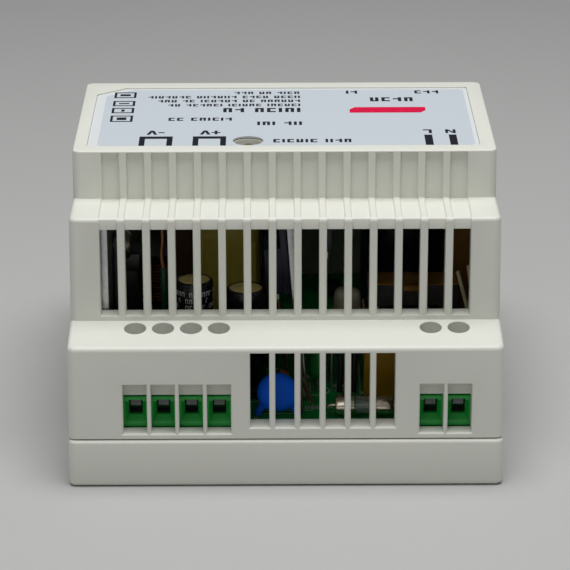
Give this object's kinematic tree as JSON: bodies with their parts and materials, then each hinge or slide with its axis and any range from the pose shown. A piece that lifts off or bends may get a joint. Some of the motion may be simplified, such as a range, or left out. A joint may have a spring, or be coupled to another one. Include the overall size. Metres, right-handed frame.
{
  "type": "din rail power supply",
  "caption": "Compact DIN rail power supply: stepped slotted plastic case, screw terminals on one side, lit front panel and a sprung rail latch.",
  "frame": {"origin": "middle of the whole part's box, on the plane of the rail-side feet", "axes": "+X along the rail, +Y the mounted part's downward direction towards the rail latch, +Z out of the front panel; the screw terminals are on the -Y side"},
  "size_m": [0.078, 0.093, 0.056],
  "materials": {
    "housing": "fine textured off-white moulding",
    "label": "satin blue-grey film with print",
    "terminal_green": "satin green moulding",
    "black_plastic": "satin black moulding",
    "board": "green solder mask with white print",
    "nickel": "nickel plated steel",
    "tin": "tinned copper",
    "heat_sink": "mill finish sheet",
    "spring": "bright spring wire",
    "ferrite": "dull dark grey ferrite",
    "winding_tape": "yellow polyester tape",
    "winding_wire": "enamelled copper wire",
    "amber_resin": "amber moulded box",
    "blue_resin": "blue epoxy coating",
    "green_resin": "green epoxy coating",
    "grey_resin": "grey-beige coating",
    "fuse_glass": "clear glass",
    "light_lens": "tinted clear resin",
    "capacitor_sleeve": "dark shrink sleeve"
  },
  "bodies": {
    "case": {"top_housing": "housing", "bottom_cover": "housing", "front_label": "label", "output_terminal_block": "terminal_green", "input_terminal_block": "terminal_green", "current_bar_1": "tin", "current_bar_2": "tin", "current_bar_3": "tin", "current_bar_4": "tin", "current_bar_5": "tin", "current_bar_6": "tin", "main_board": "board", "fuse_glass": "fuse_glass", "fuse_cap_left": "nickel", "fuse_cap_right": "nickel", "varistor": "blue_resin", "y_capacitor": "blue_resin", "thermistor": "grey_resin", "x_capacitor": "amber_resin", "output_capacitor_1": "capacitor_sleeve", "output_capacitor_2": "capacitor_sleeve", "bulk_capacitor": "capacitor_sleeve", "primary_heat_sink": "heat_sink", "secondary_heat_sink": "heat_sink", "switching_transistor": "black_plastic", "output_rectifier": "black_plastic", "sink_screw_1": "nickel", "sink_screw_2": "nickel", "transformer_core": "ferrite", "transformer_winding": "winding_tape", "transformer_foot": "black_plastic", "choke_core": "ferrite", "choke_winding_1": "winding_wire", "choke_winding_2": "winding_wire", "output_inductor": "ferrite", "bridge_rectifier": "black_plastic", "optocoupler": "black_plastic", "controller_chip": "black_plastic", "status_light": "light_lens", "latch_spring": "spring", "snubber_resistor": "green_resin", "insulation_sheet": "amber_resin", "choke_tape": "amber_resin"},
    "latch": {"rail_latch": "black_plastic"},
    "screw_1": {"terminal_screw_1": "nickel"},
    "screw_2": {"terminal_screw_2": "nickel"},
    "screw_3": {"terminal_screw_3": "nickel"},
    "screw_4": {"terminal_screw_4": "nickel"},
    "screw_5": {"terminal_screw_5": "nickel"},
    "screw_6": {"terminal_screw_6": "nickel"},
    "cage_1": {"clamp_cage_1": "nickel"},
    "cage_2": {"clamp_cage_2": "nickel"},
    "cage_3": {"clamp_cage_3": "nickel"},
    "cage_4": {"clamp_cage_4": "nickel"},
    "cage_5": {"clamp_cage_5": "nickel"},
    "cage_6": {"clamp_cage_6": "nickel"}
  },
  "joints": [
    {"name": "latch_slide", "type": "slide", "parent": "case", "child": "latch", "axis": [0, 1, 0], "range_m": [0, 0.0035], "stiffness_N_per_m": 700, "springref_m": -0.003, "deforming": ["latch_spring"]},
    {"name": "screw_1_turn", "type": "hinge", "parent": "case", "child": "screw_1", "pos_m": [-0.0269, -0.0386, 0.0205], "axis": [0, 0, -1], "range_deg": [0, 1350]},
    {"name": "screw_2_turn", "type": "hinge", "parent": "case", "child": "screw_2", "pos_m": [-0.0219, -0.0386, 0.0205], "axis": [0, 0, -1], "range_deg": [0, 1350]},
    {"name": "screw_3_turn", "type": "hinge", "parent": "case", "child": "screw_3", "pos_m": [-0.0169, -0.0386, 0.0205], "axis": [0, 0, -1], "range_deg": [0, 1350]},
    {"name": "screw_4_turn", "type": "hinge", "parent": "case", "child": "screw_4", "pos_m": [-0.0119, -0.0386, 0.0205], "axis": [0, 0, -1], "range_deg": [0, 1350]},
    {"name": "screw_5_turn", "type": "hinge", "parent": "case", "child": "screw_5", "pos_m": [0.026, -0.0386, 0.0205], "axis": [0, 0, -1], "range_deg": [0, 1350]},
    {"name": "screw_6_turn", "type": "hinge", "parent": "case", "child": "screw_6", "pos_m": [0.031, -0.0386, 0.0205], "axis": [0, 0, -1], "range_deg": [0, 1350]},
    {"name": "cage_1_lift", "type": "slide", "parent": "case", "child": "cage_1", "axis": [0, 0, 1], "range_m": [0, 0.00169]},
    {"name": "cage_2_lift", "type": "slide", "parent": "case", "child": "cage_2", "axis": [0, 0, 1], "range_m": [0, 0.00169]},
    {"name": "cage_3_lift", "type": "slide", "parent": "case", "child": "cage_3", "axis": [0, 0, 1], "range_m": [0, 0.00169]},
    {"name": "cage_4_lift", "type": "slide", "parent": "case", "child": "cage_4", "axis": [0, 0, 1], "range_m": [0, 0.00169]},
    {"name": "cage_5_lift", "type": "slide", "parent": "case", "child": "cage_5", "axis": [0, 0, 1], "range_m": [0, 0.00169]},
    {"name": "cage_6_lift", "type": "slide", "parent": "case", "child": "cage_6", "axis": [0, 0, 1], "range_m": [0, 0.00169]}
  ],
  "couplings": [
    {"joint": "screw_1_turn", "follows": "cage_1_lift", "rad_per_m": 13963},
    {"joint": "screw_2_turn", "follows": "cage_2_lift", "rad_per_m": 13963},
    {"joint": "screw_3_turn", "follows": "cage_3_lift", "rad_per_m": 13963},
    {"joint": "screw_4_turn", "follows": "cage_4_lift", "rad_per_m": 13963},
    {"joint": "screw_5_turn", "follows": "cage_5_lift", "rad_per_m": 13963},
    {"joint": "screw_6_turn", "follows": "cage_6_lift", "rad_per_m": 13963}
  ]
}
